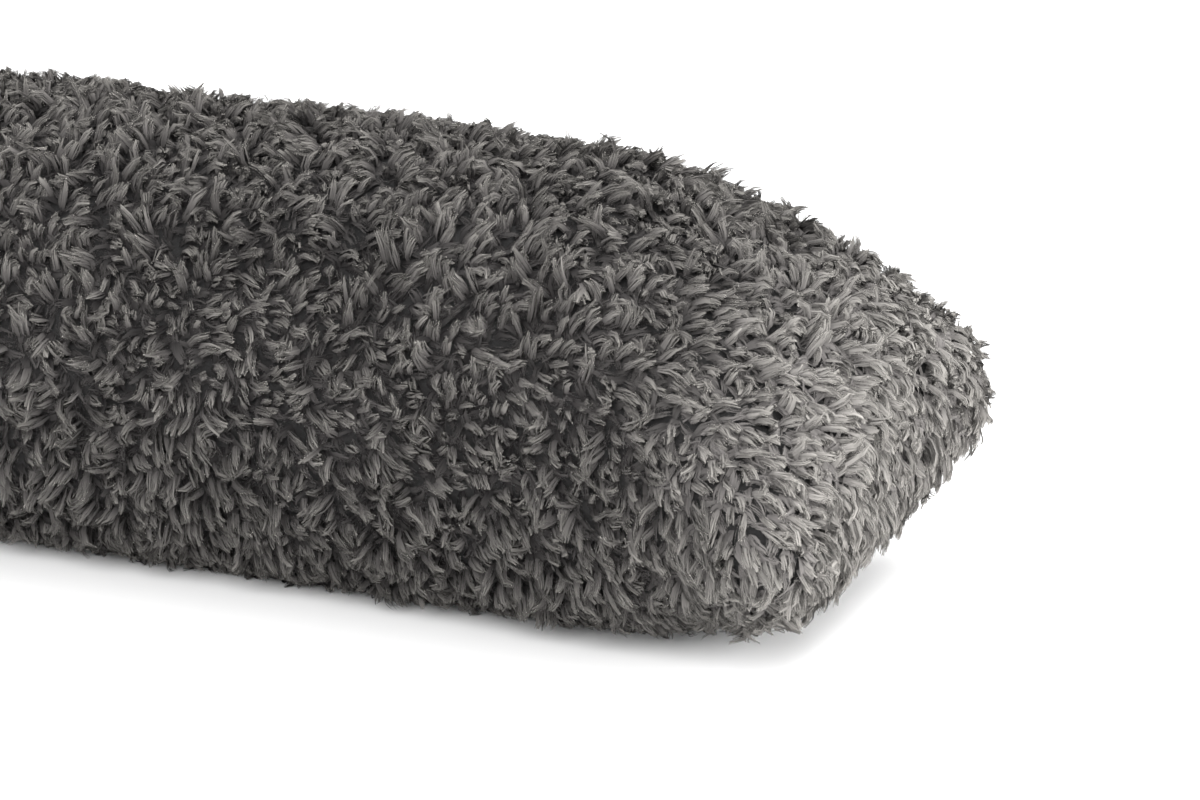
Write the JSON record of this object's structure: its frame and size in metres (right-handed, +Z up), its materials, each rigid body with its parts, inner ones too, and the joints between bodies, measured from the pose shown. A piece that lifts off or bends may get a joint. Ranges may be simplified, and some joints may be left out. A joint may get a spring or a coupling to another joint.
{
  "type": "draught excluder",
  "caption": "Long filled draught excluder in shaggy grey fleece, with flat sewn pillow-shaped ends, that lies along the foot of a door",
  "frame": {"origin": "on the floor under the middle of the body, at the bottom centre of its box", "axes": "+X along the length, from one sewn end to the other, +Y across the width, +Z up from the floor"},
  "size_m": [0.8994, 0.1774, 0.1294],
  "materials": {
    "fleece": "deep shaggy pile, matt"
  },
  "bodies": {
    "root": {"fleece_cover": "fleece"}
  },
  "joints": []
}
